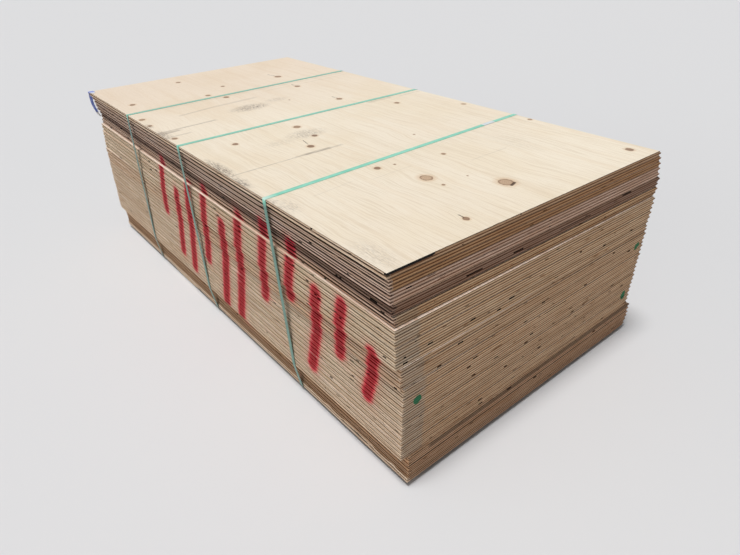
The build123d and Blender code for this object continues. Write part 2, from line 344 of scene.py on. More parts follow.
def make_camera():
    """Camera with the photograph's place, direction and tilt."""
    angles = (CAMERA_AZIMUTH, CAMERA_ELEVATION, CAMERA_ROLL)
    azimuth, elevation, roll = (math.radians(angle) for angle in angles)
    level = math.cos(elevation)
    back = Vector((math.sin(azimuth) * level, -math.cos(azimuth) * level, math.sin(elevation)))
    right = (-back).cross(Vector((0, 0, 1))).normalized()
    up = right.cross(-back)
    data = bpy.data.cameras.new("camera")
    data.sensor_width = SENSOR_WIDTH
    data.lens = FOCAL_PIXELS * SENSOR_WIDTH / IMAGE_WIDTH
    data.clip_start = CAMERA_NEAREST
    data.clip_end = CAMERA_FARTHEST
    camera = show(bpy.data.objects.new("camera", data))
    matrix = camera.matrix_world.copy()
    for row in range(3):
        matrix[row][0] = math.cos(roll) * right[row] + math.sin(roll) * up[row]
        matrix[row][1] = -math.sin(roll) * right[row] + math.cos(roll) * up[row]
        matrix[row][2] = back[row]
        matrix[row][3] = CAMERA_PLACE[row]
    camera.matrix_world = matrix
    bpy.context.scene.camera = camera


class Value:
    """What a node gives, to be reckoned with."""

    def __init__(self, nodes, socket):
        self.nodes = nodes
        self.socket = socket

    def __add__(self, other):
        return self.nodes.math("ADD", self, other)

    def __sub__(self, other):
        return self.nodes.math("SUBTRACT", self, other)

    def __rsub__(self, other):
        return self.nodes.math("SUBTRACT", other, self)

    def __mul__(self, other):
        return self.nodes.math("MULTIPLY", self, other)

    def away(self, middle):
        """Distance from the middle."""
        return self.nodes.math("ABSOLUTE", self - middle)

    def ramp(self, low, high, start=0.0, end=1.0):
        """Smooth step between low and high, from start to end."""
        made = self.nodes.node("MapRange", interpolation_type="SMOOTHSTEP")
        return self.nodes.fill(made, (self, low, high, start, end))


class Nodes:
    """The shader nodes of one node tree."""

    def __init__(self, tree):
        self.tree = tree
        self.tree.nodes.clear()

    def node(self, kind, **settings):
        made = self.tree.nodes.new("ShaderNode" + kind)
        for name, value in settings.items():
            setattr(made, name, value)
        return made

    def given(self, kind, output, **settings):
        """One of the things that a new node gives."""
        return Value(self, self.node(kind, **settings).outputs[output])

    def put(self, socket, value):
        if isinstance(value, Value):
            self.tree.links.new(value.socket, socket)
        else:
            socket.default_value = value

    def fill(self, made, values, output=0):
        """Sets a node's inputs, in order or by name or number, and returns what it gives."""
        pairs = values.items() if isinstance(values, dict) else enumerate(values)
        for key, value in pairs:
            self.put(made.inputs[key], value)
        return Value(self, made.outputs[output])

    def math(self, operation, first, second=0.0, clamp=False):
        return self.fill(self.node("Math", operation=operation, use_clamp=clamp), (first, second))

    def join(self, x, y, z):
        return self.fill(self.node("CombineXYZ"), (x, y, z))

    def split(self, vector):
        made = self.node("SeparateXYZ")
        self.put(made.inputs[0], vector)
        return [Value(self, socket) for socket in made.outputs]


class Graph(Nodes):
    """The shader nodes of a new material."""

    def __init__(self, name):
        self.material = bpy.data.materials.new(name)
        self.material.use_nodes = True
        super().__init__(self.material.node_tree)

    def mix(self, factor, first, second, blend="MIX"):
        made = self.node("Mix", data_type="RGBA", blend_type=blend)
        return self.fill(made, {0: factor, 6: first, 7: second}, 2)

    def tinted(self, base, *numbers):
        """The base multiplied by a colour given as 0 to 255 numbers."""
        return self.mix(1.0, base, colour(*numbers), "MULTIPLY")

    def value(self, name):
        """A number that the mesh holds at each corner."""
        return self.given("Attribute", "Fac", attribute_name=name)

    def from_sheet(self, number):
        """1 on the sheet of this number and under it, 0 above it."""
        return self.value("number").ramp(number - 0.6, number - 0.4)

    def place(self):
        return self.given("TexCoord", "Object")

    def noise(self, vector, detail, roughness, distortion=0.0):
        return self.fill(self.node("TexNoise"), {
            "Vector": vector, "Scale": 1.0, "Detail": detail,
            "Roughness": roughness, "Distortion": distortion,
        }, "Fac")

    def noise_of(self, values, scales, detail, roughness):
        """Noise over three values, each with a scale of its own."""
        scaled = [value * scale for value, scale in zip(values, scales)]
        return self.noise(self.join(*scaled), detail, roughness)

    def noise_in_place(self, scales, detail, roughness, distortion=0.0):
        """Noise over the place in the stack, with a scale along each axis."""
        made = self.node("VectorMath", operation="MULTIPLY")
        return self.noise(self.fill(made, (self.place(), scales)), detail, roughness, distortion)

    def bump(self, height, strength, distance):
        values = {"Strength": strength, "Distance": distance, "Height": height}
        return self.fill(self.node("Bump"), values)

    def finish(self, base, roughness, normal=None, specular=0.25):
        values = {"Base Color": base, "Roughness": roughness, "Specular IOR Level": specular}
        if normal is not None:
            values["Normal"] = normal
        shader = self.fill(self.node("BsdfPrincipled"), values)
        self.put(self.node("OutputMaterial").inputs[0], shader)
        return self.material


def painted(graph, base):
    """Adds the red spray and the green paint to a wood colour."""
    spray = graph.value("spray")
    speck = (graph.noise_in_place((260.0, 260.0, 260.0), 2.0, 0.6) - 0.5) * 0.5
    red = graph.mix(spray.ramp(0.45, 1.0), colour(218, 34, 64), colour(164, 8, 32))
    base = graph.mix((spray + speck).ramp(0.04, 0.76, 0.0, 0.95), base, red)
    dabbed = (graph.value("dab") + speck).ramp(0.4, 0.55, 0.0, 0.95)
    return graph.mix(dabbed, base, colour(26, 112, 74))


def edge_material(name, on_long_edge):
    """Edge of a sheet; the face layers and the middle one show end grain on the cut ends. Shade in the
    core gaps, grooves and seams is painted into its colour.
    """
    graph = Graph(name)
    x, y, z = graph.split(graph.place())
    along = x if on_long_edge else y
    layer, sheet = graph.value("ply"), graph.value("number")
    tint = graph.given("Attribute", "Color", attribute_name="tint")
    first_aged = FIRST_AGED if on_long_edge else FIRST_AGED_ON_ENDS
    # The aged run and the lowest run take darker painted shade in their grooves and seams, and more end
    # grain on the cut ends
    aged_or_lowest = graph.from_sheet(first_aged) * (1.0 - graph.from_sheet(FIRST_PALE))
    aged_or_lowest = aged_or_lowest + graph.from_sheet(FIRST_LOW)

    # Which layers show their end grain, and how strongly
    level = graph.math("FLOOR", layer)
    odd = graph.math("MODULO", level, 2.0)
    if on_long_edge:
        cut = odd * 0.25
    else:
        middle_layer = graph.math("SUBTRACT", 1.0, level.away(2.0), True)
        cut = middle_layer.ramp(0.0, 1.0, 0.3, 0.95) + aged_or_lowest * 0.3
        cut = graph.math("MULTIPLY", 1.0 - odd, cut, True)

    # Wood of the layers
    strands = graph.noise_of((along, z, sheet), (9.0, 1500.0, 3.7), 4.0, 0.6)
    patches = graph.noise_of((along, level, sheet), (5.0, 9.1, 5.3), 3.0, 0.6)
    pores = graph.noise_of((along, z, sheet), (900.0, 700.0, 2.1), 2.0, 0.7)
    base = graph.mix(patches.ramp(0.3, 0.72), graph.tinted(tint, 232, 220, 208), tint)
    base = graph.mix(strands.ramp(0.4, 0.68, 0.0, 0.35), base, graph.tinted(base, 200, 172, 146))
    dark_pores, pale_pores = graph.tinted(base, 118, 90, 70), graph.tinted(base, 178, 152, 128)
    base = graph.mix(cut, base, graph.mix(pores.ramp(0.4, 0.66), dark_pores, pale_pores))

    # Glue lines between the layers
    in_layer = graph.math("FRACT", layer)
    from_glue = graph.math("MINIMUM", in_layer, 1.0 - in_layer)
    gap = graph.noise_of((along, level, sheet), (22.0, 3.3, 8.9), 2.0, 0.5)
    glue = from_glue.ramp(0.03, 0.12, 1.0, 0.0) * gap.ramp(0.34, 0.6, 0.1, 0.7)
    base = painted(graph, graph.mix(glue, base, graph.tinted(base, 96, 66, 46)))

    # Painted shade: near black in the core gaps, darker in the grooves and at the seams between sheets
    base = graph.mix(graph.value("gap_shade").ramp(0.0, 0.12), base, colour(16, 10, 7))
    covered = graph.value("spray").ramp(0.3, 0.8, 1.0, aged_or_lowest.ramp(0.0, 1.0, 0.62, 1.0))
    shade = graph.value("inner").ramp(0.05, 0.5, 0.0, aged_or_lowest.ramp(0.0, 1.0, 0.9, 0.97))
    shade_colour = graph.mix(aged_or_lowest, colour(66, 44, 32), colour(30, 20, 15))
    base = graph.mix(shade * covered, base, graph.mix(1.0, base, shade_colour, "MULTIPLY"))
    height = strands * 0.5 + pores * (cut * 0.8)
    return graph.finish(base, pores.ramp(0.3, 0.7, 0.92, 0.78), graph.bump(height, 0.5, 0.0007))


def face_material():
    """Face veneer of the sheets under the top one."""
    graph = Graph("face_veneer")
    grain = graph.noise_in_place((3.0, 120.0, 40.0), 4.0, 0.6, 0.4)
    blotch = graph.noise_in_place((5.0, 14.0, 30.0), 3.0, 0.5)
    tint = graph.mix(graph.from_sheet(FIRST_TAN), FACE_COLOUR_AGED, FACE_COLOUR)
    tint = graph.mix(graph.from_sheet(FIRST_LOW), tint, FACE_COLOUR_LOW)
    base = graph.mix(grain.ramp(0.42, 0.68, 0.0, 0.5), tint, graph.tinted(tint, 206, 172, 140))
    base = graph.mix(blotch.ramp(0.4, 0.7, 0.0, 0.35), base, graph.tinted(base, 220, 198, 180))
    base = graph.mix(graph.from_sheet(FIRST_PALE + 1), base, painted(graph, base))
    return graph.finish(base, 0.8, graph.bump(grain, 0.3, 0.0004))


def top_material():
    """Face veneer of the top sheet, with flowing grain, knots, cracks and rubbed dirt."""
    graph = Graph("top_veneer")
    x, y, _ = graph.split(graph.place())

    # Flowing grain
    sway = graph.noise_in_place((3.4, 7.0, 1.0), 2.0, 0.5)
    ripple = graph.noise_in_place((26.0, 34.0, 1.0), 2.0, 0.5)
    bent = graph.value("grain") + sway * 0.06 + ripple * 0.006
    lines = graph.noise(graph.join(x * 1.6, bent * 120.0, 2.0), 3.0, 0.5)
    bands = graph.noise(graph.join(x * 1.2, bent * 22.0, 7.0), 3.0, 0.5)
    fibres = graph.noise(graph.join(x * 30.0, y * 700.0, 1.0), 3.0, 0.6)
    blotch = graph.noise_in_place((2.6, 4.0, 1.0), 3.0, 0.55)
    wide = graph.noise_in_place((0.8, 1.6, 1.0), 1.0, 0.5)
    line_share = lines.away(0.5).ramp(0.0, 0.05, 0.34, 0.0) * x.ramp(-0.9, 0.9, 0.3, 1.0)
    base = graph.mix(wide.ramp(0.35, 0.65), colour(245, 234, 215), colour(242, 230, 211))
    base = graph.mix(blotch.ramp(0.42, 0.66, 0.0, 0.5), base, colour(238, 223, 198))
    base = graph.mix(bands.ramp(0.48, 0.68, 0.0, 0.34), base, colour(234, 216, 190))
    base = graph.mix(line_share, base, colour(200, 178, 146))
    base = graph.mix(fibres.ramp(0.42, 0.75, 0.0, 0.22), base, colour(210, 186, 152))
    base = graph.mix(x.ramp(-1.0, 0.2, 0.7, 0.0), base, graph.tinted(base, 244, 236, 234))

    # Knots
    wobble = graph.noise_in_place((120.0, 120.0, 1.0), 2.0, 0.5)
    radius = graph.value("ring") + (wobble - 0.5) * 0.35
    rings, pale = graph.math("SINE", radius * 26.0), graph.value("knot_pale")
    heart = graph.mix(pale, colour(134, 102, 80), colour(200, 172, 144))
    dark_heart = graph.mix(pale, colour(100, 72, 54), colour(160, 128, 102))
    heart = graph.mix(rings.ramp(-0.2, 0.9, 0.0, 0.55), heart, dark_heart)
    rim = radius.ramp(0.74, 0.95) * radius.ramp(1.0, 1.2, 0.7, 0.0)
    heart = graph.mix(rim, heart, graph.mix(pale, colour(96, 66, 50), colour(122, 92, 72)))
    base = graph.mix(radius.ramp(1.0, 2.1, 0.42, 0.0), base, colour(206, 166, 122))
    base = graph.mix(radius.ramp(1.0, 1.14, 0.92, 0.0), base, heart)

    # Cracks and rubbed dirt
    crack = graph.value("crack")
    hatch = graph.noise_in_place((60.0, 420.0, 1.0), 3.0, 0.7)
    smear = graph.noise_in_place((300.0, 16.0, 1.0), 3.0, 0.7)
    dirt = graph.value("scuff") * hatch.ramp(0.42, 0.62)
    rubbed = graph.value("streak") * smear.ramp(0.3, 0.62, 0.35, 1.0)
    base = graph.mix(crack.ramp(0.35, 0.8, 0.0, 0.85), base, colour(60, 40, 28))
    base = graph.mix(dirt * 0.8, base, colour(112, 100, 92))
    base = graph.mix(rubbed * 0.85, base, colour(112, 98, 88))
    height = fibres * 0.5 + lines * 0.5 - crack * 1.2
    roughness = fibres.ramp(0.3, 0.7, 0.62, 0.78)
    return graph.finish(base, roughness, graph.bump(height, 0.35, 0.0005), specular=0.3)


def strap_material():
    """Green plastic strapping with faint ribs, dust and a pale weld, painted lighter on top and darker
    on its sides, with a painted highlight where the near strap bends.
    """
    graph = Graph("strap_plastic")
    x, y, z = graph.split(graph.place())
    dust = graph.noise_in_place((60.0, 24.0, 24.0), 3.0, 0.6)
    ribs = graph.noise_in_place((1400.0, 30.0, 30.0), 2.0, 0.5)
    dusty = dust.ramp(0.35, 0.7)
    # Painted light: a lit copy of the colour for the top and a painted shaded copy for the sides
    lit = graph.mix(dusty, colour(112, 202, 176), colour(144, 218, 196))
    painted_shaded = graph.mix(dusty, colour(66, 112, 98), colour(86, 128, 114))
    base = graph.mix(z.ramp(STACK_TOP - 30 * MM, STACK_TOP - 4 * MM), painted_shaded, lit)
    pale_rib = graph.mix(0.5, base, colour(190, 236, 216))
    base = graph.mix(ribs.ramp(0.4, 0.7, 0.0, 0.35), base, pale_rib)
    base = graph.mix(x.ramp(-0.7, 0.5, 0.75, 0.0), base, graph.tinted(base, 220, 216, 218))

    # Weld of the near strap, found on its solid by its raised lap
    points = [vertex.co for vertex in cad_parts["strap_near"].data.vertices]
    lap = [point for point in points if point.z > STACK_TOP + 1.5 * MM]
    weld_along = y.away(sum(point.y for point in lap) / len(lap)).ramp(0.030, 0.037, 1.0, 0.0)
    weld_across = x.away(sum(point.x for point in lap) / len(lap)).ramp(0.05, 0.06, 1.0, 0.0)
    on_top = z.ramp(STACK_TOP - 4 * MM, STACK_TOP - 2 * MM)
    scrape = graph.noise_in_place((420.0, 160.0, 10.0), 3.0, 0.7).ramp(0.3, 0.6, 0.4, 1.0)
    weld = weld_along * weld_across * on_top * scrape
    base = graph.mix(weld, base, colour(224, 222, 232))

    # Painted highlight where the near strap bends over the front edge
    painted_highlight = y.ramp(TOP_LOW.y, TOP_LOW.y + 50 * MM, 0.7, 0.0) * on_top * x.ramp(0.4, 0.5)
    base = graph.mix(painted_highlight, base, colour(214, 236, 226))
    roughness = dust.ramp(0.3, 0.7, 0.28, 0.42)
    return graph.finish(base, roughness, graph.bump(ribs, 0.3, 0.0002), specular=0.5)


def bearer_material():
    """Plain sawn board."""
    graph = Graph("bearer_wood")
    grain = graph.noise_in_place((90.0, 4.0, 160.0), 4.0, 0.6, 0.5)
    blotch = graph.noise_in_place((9.0, 3.0, 9.0), 3.0, 0.5)
    base = graph.mix(grain.ramp(0.38, 0.66), colour(186, 154, 118), colour(148, 114, 82))
    base = graph.mix(blotch.ramp(0.4, 0.7, 0.0, 0.4), base, colour(128, 104, 84))
    return graph.finish(base, 0.82, graph.bump(grain, 0.4, 0.0006))


def tag_material():
    """Blue plastic tag, white at its ends."""
    graph = Graph("tag_plastic")
    scratch = graph.noise_in_place((200.0, 200.0, 60.0), 3.0, 0.7)
    base = graph.mix(scratch.ramp(0.4, 0.7), colour(112, 134, 212), colour(158, 172, 234))
    whiteness = (graph.value("white") + (scratch - 0.5) * 0.5).ramp(0.42, 0.58)
    base = graph.mix(whiteness, base, colour(226, 228, 232))
    return graph.finish(base, 0.5, graph.bump(scratch, 0.2, 0.0003), specular=0.4)


def splinter_material():
    """Raw torn veneer."""
    graph = Graph("splinter_wood")
    grain = graph.noise_in_place((8.0, 200.0, 500.0), 3.0, 0.6)
    base = graph.mix(grain.ramp(0.35, 0.65), colour(240, 214, 182), colour(214, 180, 142))
    return graph.finish(base, 0.85, specular=0.2)


TOP_VENEER = top_material()
FACE_VENEER = face_material()
LONG_EDGE_WOOD = edge_material("long_edge_wood", True)
CUT_END_WOOD = edge_material("cut_end_wood", False)
STRAP_PLASTIC = strap_material()
BEARER_WOOD = bearer_material()
TAG_PLASTIC = tag_material()
SPLINTER_WOOD = splinter_material()


class Sheet:
    """Place and size of one sheet, read from its solid."""

    def __init__(self, name):
        points = [vertex.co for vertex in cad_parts[name].data.vertices]
        near = max(points, key=lambda p: p.x - p.y)
        far = max(points, key=lambda p: -p.x - p.y)
        self.name = name
        self.number = int(name[-2:])
        self.low = min(p.z for p in points)
        self.start = np.array((far.x, far.y))
        run = np.array((near.x - far.x, near.y - far.y))
        self.length = float(np.hypot(*run))
        self.along = run / self.length
        self.across = np.array((-self.along[1], self.along[0]))
        reach = max((p.x - far.x) * self.across[0] + (p.y - far.y) * self.across[1] for p in points)
        self.width = reach - TONGUE_REACH

    def place(self, flat):
        """Points in the row frame from (along, across, up) in the sheet."""
        placed = np.empty_like(flat)
        placed[:, :2] = self.start + flat[:, :1] * self.along + flat[:, 1:2] * self.across
        placed[:, 2] = self.low + flat[:, 2]
        return placed

    def along_of(self, x):
        """Place along the grooved edge of a point at x, in mm from the stack's middle."""
        return (TOP_MIDDLE_X + x * MM - self.start[0]) / self.along[0]

    def across_of(self, y):
        """Place across the near end of a point at y, in mm from the stack's middle."""
        return TOP_MIDDLE_Y + y * MM - (self.start[1] + self.length * self.along[1])

    def up_of(self, height):
        """Height in the sheet of a point, from its height in mm over the stack's top."""
        return STACK_TOP + height * MM - self.low


def section_rows(width):
    """Corners of the grooved side and of the tongue side, from the underside up: across, up."""
    tip = width + TONGUE_REACH
    low_tip = (THICKNESS - TONGUE_TIP) / 2
    groove = [
        (LIP_CHAMFER, 0), (0, LIP_CHAMFER), (0, FACE_PLY), (0, (THICKNESS - GROOVE_MOUTH) / 2),
        (GROOVE_DEPTH, (THICKNESS - GROOVE_FLOOR) / 2),
    ]
    tongue = [
        (width - LIP_CHAMFER, 0), (width, LIP_CHAMFER), (width, (THICKNESS - TONGUE_ROOT) / 2),
        (tip - TONGUE_CHAMFER, low_tip), (tip, low_tip + TONGUE_CHAMFER),
    ]
    return [half + [(v, THICKNESS - up) for v, up in reversed(half)] for half in (groove, tongue)]


class Shell:
    """Corners and faces of one sheet while it is being built."""

    def __init__(self):
        self.index = {}
        self.points = []
        self.rows = []
        self.sunk = []
        self.faces = []
        self.kinds = []

    def corner(self, point, side=None, row=0, sunk=0.0):
        key = (round(point[0], 7), round(point[1], 7), round(point[2], 7), sunk)
        found = self.index.get(key)
        if found is None:
            found = len(self.points)
            self.index[key] = found
            self.points.append(point)
            self.rows.append([-1, -1, -1, -1])
            self.sunk.append([0.0, 0.0, 0.0, 0.0])
        if side is not None:
            self.rows[found][side] = row
            self.sunk[found][side] = sunk
        return found

    def face(self, corners, kind):
        kept = [c for i, c in enumerate(corners) if c != corners[i - 1]]
        if len(kept) > 2:
            self.faces.append(kept)
            self.kinds.append(kind)

    def patch(self, grid, side, kind, pockets):
        """A side of the sheet as rows of corners, with pockets sunk into it."""
        corners = [[self.corner(point, side, row) for point in line] for row, line in enumerate(grid)]
        taken = set()
        for low, high, first, last in pockets:
            cells = {(r, c) for r in range(low, high) for c in range(first, last)}
            around = {(r, c) for r in range(low, high) for c in range(first - 1, last + 1)}
            if around & taken:
                continue
            taken |= cells
            inner = {}
            for r in range(low, high + 1):
                for c in range(first, last + 1):
                    inner[r, c] = self.corner(grid[r][c], side, r, SUNK_DEPTH)
            for r, c in cells:
                self.face((inner[r, c], inner[r, c + 1], inner[r + 1, c + 1], inner[r + 1, c]), kind)
            under, over = corners[low], corners[high]
            for c in range(first, last):
                self.face((under[c], under[c + 1], inner[low, c + 1], inner[low, c]), kind)
                self.face((over[c + 1], over[c], inner[high, c], inner[high, c + 1]), kind)
            for r in range(low, high):
                under, over = corners[r], corners[r + 1]
                self.face((over[first], under[first], inner[r, first], inner[r + 1, first]), kind)
                self.face((under[last], over[last], inner[r + 1, last], inner[r, last]), kind)
        for r, (under, over) in enumerate(zip(corners, corners[1:])):
            for c in range(len(under) - 1):
                if (r, c) not in taken:
                    self.face((under[c], under[c + 1], over[c + 1], over[c]), kind)
        return corners


def spaced(length, step, random, features, margin):
    """Places along an edge: an uneven division, with the features' own places kept."""
    count = max(2, round(length / step))
    regular = [length * i / count for i in range(1, count)]
    regular = [p + (random.random() - 0.5) * step * 0.5 for p in regular]
    kept = sorted({round(f, 6) for f in features if margin < f < length - margin})
    clear = [p for p in regular if all(abs(p - f) > CLEAR_SPACE for f in kept)]
    return [0.0] + sorted(clear + kept) + [length]


def profile(length, random, waves):
    """Uneven line along an edge as places and depths; waves are (spacing, depth)."""
    places = np.arange(0, length + WEAR_STEP, WEAR_STEP)
    depth = np.zeros_like(places)
    for spacing, amount in waves:
        knots = np.arange(0, length + 2 * spacing, spacing)
        depth += np.interp(places, knots, random.random(len(knots))) * amount
    return places, depth


def gouge(line, middle, half, depth):
    """Deepens an edge's line over a short stretch."""
    places, depths = line
    depths += np.clip(1 - ((places - middle) / half) ** 2, 0, 1) * depth


def gap_ends(gaps):
    """Places of both ends of every gap."""
    return [middle + side * long / 2 for middle, long, _ in gaps for side in (-1, 1)]


def nearest(columns, place):
    """Number of the column nearest to a place."""
    return min(range(len(columns)), key=lambda i: abs(columns[i] - place))


def pockets_of(gaps, columns, low, high):
    """Rows and columns of the gaps whose middle lies between low and high."""
    pockets = []
    for middle, long, rows in gaps:
        if low < middle < high:
            first = nearest(columns, middle - long / 2)
            last = nearest(columns, middle + long / 2)
            pockets.append((*rows, first, max(last, first + 1)))
    return pockets


def distance_to_line(px, pz, start, end):
    """Distance from points to a straight line between two others."""
    run = np.array((end[0] - start[0], end[1] - start[1]))
    share = np.clip(((px - start[0]) * run[0] + (pz - start[1]) * run[1]) / (run @ run), 0, 1)
    return np.hypot(px - start[0] - share * run[0], pz - start[1] - share * run[1])


def spray_columns(sheet):
    """Closer divisions of the grooved side where a sprayed mark crosses it."""
    middle = (sheet.low + THICKNESS / 2 - STACK_TOP) / MM
    found = set()
    for (x0, z0), (x1, z1), half in SPRAY_STROKES:
        reach = half + SPRAY_SOFTNESS
        for share in np.linspace(0, 1, 40):
            if abs(z0 + (z1 - z0) * share - middle) < reach:
                x = x0 + (x1 - x0) * share
                found |= set(range(int((x - reach) / SPRAY_STEP), int((x + reach) / SPRAY_STEP) + 1))
    return [sheet.along_of(SPRAY_STEP * step) for step in sorted(found)]


def some_length(random, limits):
    """Length of a core gap from its least length and how much longer it can be."""
    return (limits[0] + limits[1] * random.random()) * MM


def front_gaps(sheet, random):
    """Core gaps of the grooved side: place, length, rows."""
    gaps = []
    for x, height, long in FRONT_VOIDS:
        up = sheet.up_of(height)
        if 0 <= up < THICKNESS:
            rows = OVER_GROOVE if up > THICKNESS / 2 else UNDER_GROOVE
            gaps.append((sheet.along_of(x), long * MM, rows))
    for _ in range(random.integers(1, 4)):
        rows = FRONT_GAP_ROWS[random.integers(2)]
        gaps.append((random.random() * sheet.length, some_length(random, GAP_LENGTH), rows))
    return gaps


def back_gaps(sheet, random):
    """Core gaps of the tongue side: place, length, rows."""
    gaps = []
    for _ in range(random.integers(2, 5)):
        place, long = random.random() * sheet.length, some_length(random, GAP_LENGTH)
        gaps.append((place, long, BACK_GAP_ROWS[random.integers(2)]))
    return gaps


def end_gaps(sheet, side, random):
    """Core gaps of a cut end: place, length, rows."""
    gaps = []
    lowest, highest = END_GAP_ROWS
    for y, height, long, layers in END_VOIDS if side == NEAR_END else ():
        up = sheet.up_of(height)
        if 0 <= up < THICKNESS:
            below = sum(1 for row_up in END_ROWS if row_up <= up)
            row = min(max(below - 1, lowest), highest - layers)
            gaps.append((sheet.across_of(y), long * MM, (row, row + layers)))
    for _ in range(random.integers(1, 3)):
        row = int(random.integers(lowest, highest))
        place = random.random() * sheet.width
        gaps.append((place, some_length(random, END_GAP_LENGTH), (row, row + 1)))
    return gaps


def long_side(shell, sheet, side, section, gaps, step, features, random):
    """The grooved side or the tongue side, as rows of corners."""
    columns = spaced(sheet.length, step, random, gap_ends(gaps) + features, LONG_MARGIN)
    pockets = pockets_of(gaps, columns, GAP_MARGIN, sheet.length - GAP_MARGIN)
    grid = [[(along, across, up) for along in columns] for across, up in section]
    return shell.patch(grid, side, LONG_EDGE, pockets)


def cut_end(shell, sheet, side, groove, tongue, random):
    """One cut end, as rows of corners."""
    along = sheet.length if side == NEAR_END else 0.0
    gaps = end_gaps(sheet, side, random)
    features = gap_ends(gaps)
    for y, height, half_width, half_height in GREEN_DABS if side == NEAR_END else ():
        if abs(sheet.up_of(height) - THICKNESS / 2) < (half_height + 12) * MM:
            middle = sheet.across_of(y)
            features += [middle + half_width * MM * share for share in np.linspace(-1.3, 1.3, 15)]
    low, high = END_LOW, sheet.width - END_HIGH
    inner = spaced(high - low, END_STEP, random, [place - low for place in features], END_MARGIN)
    columns = [low + place for place in inner]
    grid = []
    for row, up in enumerate(END_ROWS):
        line = [(along, across, up) for across in columns]
        grid.append([(along, *groove[row]), *line, (along, *tongue[row])])
    columns = [0.0, *columns, sheet.width]
    pockets = []
    for low_row, high_row, first, last in pockets_of(
            gaps, columns, low + END_GAP_MARGIN, high - END_GAP_MARGIN):
        first, last = max(first, 2), min(last, len(columns) - 3)
        if last > first:
            pockets.append((low_row, high_row, first, last))
    return shell.patch(grid, side, CUT_END, pockets)


def top_face(shell, loop, sheet):
    """Fine triangles for the top sheet's face, closer together at its knots and streaks."""
    random = np.random.default_rng(TOP_SEED)
    border = [shell.points[c][:2] for c in loop]
    inside = []
    for i in range(1, int(sheet.length / TOP_STEP)):
        for j in range(1, int(sheet.width / TOP_STEP)):
            jitter = (random.random(2) - 0.5) * 0.5 * TOP_STEP
            inside.append((i * TOP_STEP + jitter[0], j * TOP_STEP + jitter[1]))

    def add(x, y):
        inside.append((sheet.length / 2 + x * MM, sheet.width / 2 + y * MM))

    for x, y, radius, _ in TOP_KNOTS:
        for ring in KNOT_RINGS:
            for turn in range(1 if ring == 0 else RING_CORNERS):
                angle = math.tau * (turn + 0.5 * (ring > 0.6)) / RING_CORNERS
                add(x + radius * ring * math.cos(angle), y + radius * ring * math.sin(angle))
    for (x0, y0), (x1, y1), half in [streak[:3] for streak in TOP_STREAKS] + list(CRACKS):
        length = math.hypot(x1 - x0, y1 - y0)
        count = max(3, round(length / LINE_STEP))
        for i in range(count + 1):
            for side in LINE_SIDES:
                add(x0 + (x1 - x0) * i / count - (y1 - y0) / length * half * side,
                    y0 + (y1 - y0) * i / count + (x1 - x0) / length * half * side)
    kept = [(x, y) for x, y in inside
            if TOP_MARGIN < x < sheet.length - TOP_MARGIN and TOP_MARGIN < y < sheet.width - TOP_MARGIN]
    coordinates = [Vector(p) for p in border + kept]
    edges = [(i, (i + 1) % len(border)) for i in range(len(border))]
    points, _, faces, sources, _, _ = delaunay_2d_cdt(coordinates, edges, [], 1, 1e-7)
    corners = []
    for point, source in zip(points, sources):
        known = [number for number in source if number < len(border)]
        if known:
            corners.append(loop[known[0]])
        else:
            corners.append(shell.corner((point.x, point.y, THICKNESS)))
    for face in faces:
        shell.face([corners[i] for i in face], FACE)


def worn(sheet, nominal, rows, sunk, random):
    """Corners moved inward, for uneven edges, chips and the bottoms of the core gaps."""
    flat = nominal.copy()
    for side, axis, inward, measure, waves, chips in EDGE_WEAR:
        length = sheet.width if measure else sheet.length
        shared = profile(length, random, waves[:1])
        lines = [profile(length, random, waves[1:]) for _ in range(ROW_COUNT)]
        for _ in range(chips):
            middle = random.random() * length
            half = (CHIP_HALF[0] + CHIP_HALF[1] * random.random() ** 2) * MM
            depth = (CHIP_DEPTH[0] + CHIP_DEPTH[1] * random.random() ** 2) * MM
            deeper, beside = CHIP_ROWS[random.choice(len(CHIP_ROWS), p=CHIP_SHARES)]
            gouge(lines[deeper], middle, half, depth)
            gouge(lines[beside], middle, half * BESIDE[0], depth * BESIDE[1])
        if side == GROOVE_SIDE and sheet.number == LOWEST:
            for x, half, depth in BROKEN_LIP:
                for row, share in BROKEN_LIP_ROWS:
                    gouge(lines[row], sheet.along_of(x), half * MM, depth * MM * share)
        for row in range(ROW_COUNT):
            chosen = rows[:, side] == row
            where = nominal[chosen, measure]
            depth = np.interp(where, shared[0], shared[1] + lines[row][1])
            if side in (NEAR_END, FAR_END) and row in ARRIS_ROWS:
                depth = depth + END_ARRIS
            flat[chosen, axis] += inward * (depth + sunk[chosen, side])
    return flat


def make_object(name, points, faces, attributes, materials, kinds=None):
    """An object from its points and faces, with values for its materials at each point."""
    mesh = bpy.data.meshes.new(name)
    mesh.from_pydata(points.tolist(), [], faces)
    if kinds is not None:
        mesh.polygons.foreach_set("material_index", kinds)
    for key, values in attributes.items():
        kind, field = ("FLOAT_COLOR", "color") if key == "tint" else ("FLOAT", "value")
        layer = mesh.attributes.new(key, kind, "POINT")
        layer.data.foreach_set(field, values.astype(np.float32).ravel())
    mesh.validate()
    edit = bmesh.new()
    edit.from_mesh(mesh)
    bmesh.ops.recalc_face_normals(edit, faces=edit.faces)
    edit.to_mesh(mesh)
    edit.free()
    for material in materials:
        mesh.materials.append(material)
    return show(bpy.data.objects.new(name, mesh))


